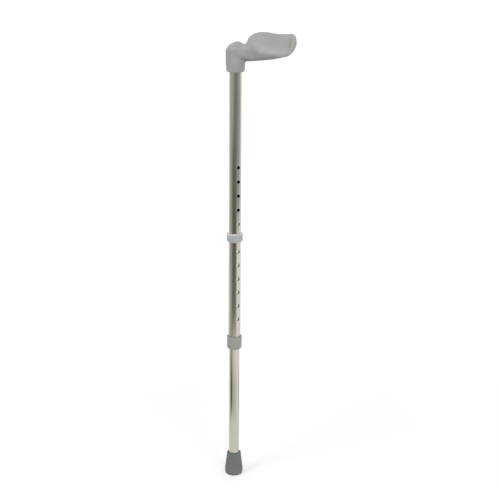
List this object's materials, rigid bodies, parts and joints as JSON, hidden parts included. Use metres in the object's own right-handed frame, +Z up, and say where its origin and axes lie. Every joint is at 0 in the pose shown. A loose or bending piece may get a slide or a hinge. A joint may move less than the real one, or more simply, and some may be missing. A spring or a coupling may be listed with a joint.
{
  "type": "walking stick",
  "caption": "Height-adjustable walking stick: a contoured palm handle with a domed socket, telescoping metal tubes with a row of holes, a pin clip, an end collar and a tapered rubber ferrule.",
  "frame": {"origin": "centre of the ferrule's base, on the shaft's axis", "axes": "+Z up the shaft; +X back along the handle, from its socket to its rear end; the palm rest's wing spreads towards -Y and the fingers close on the +Y side"},
  "size_m": [0.1219, 0.0511, 0.8214],
  "materials": {
    "handle_plastic": "moulded light grey plastic with a fine satin grain",
    "screw_steel": "bright zinc-plated steel",
    "plug_nylon": "moulded off-white nylon",
    "bronze_aluminium": "satin anodised, pale bronze",
    "collar_plastic": "moulded mid grey plastic",
    "clip_plastic": "moulded pale grey plastic, slightly bluish",
    "silver_aluminium": "satin anodised, silver with a faint warm tint",
    "natural_nylon": "moulded natural nylon",
    "grey_rubber": "matt grey moulded rubber",
    "zinc_steel": "zinc-plated pressed steel"
  },
  "bodies": {
    "upper": {"grip": "handle_plastic", "grip_screw": "screw_steel", "tube_plug": "plug_nylon", "upper_tube": "bronze_aluminium", "end_collar": "collar_plastic"},
    "leg": {"lower_tube": "silver_aluminium", "guide_bush": "natural_nylon", "ferrule": "grey_rubber", "ferrule_washer": "zinc_steel"},
    "clip": {"height_clip": "clip_plastic"}
  },
  "joints": [
    {"name": "height_adjustment", "type": "slide", "parent": "upper", "child": "leg", "axis": [0, 0, 1], "range_m": [-0.1524, 0.127]},
    {"name": "clip_pull", "type": "slide", "parent": "leg", "child": "clip", "axis": [0.7071, -0.7071, 0], "range_m": [0, 0.032], "deforming": ["height_clip"]}
  ]
}
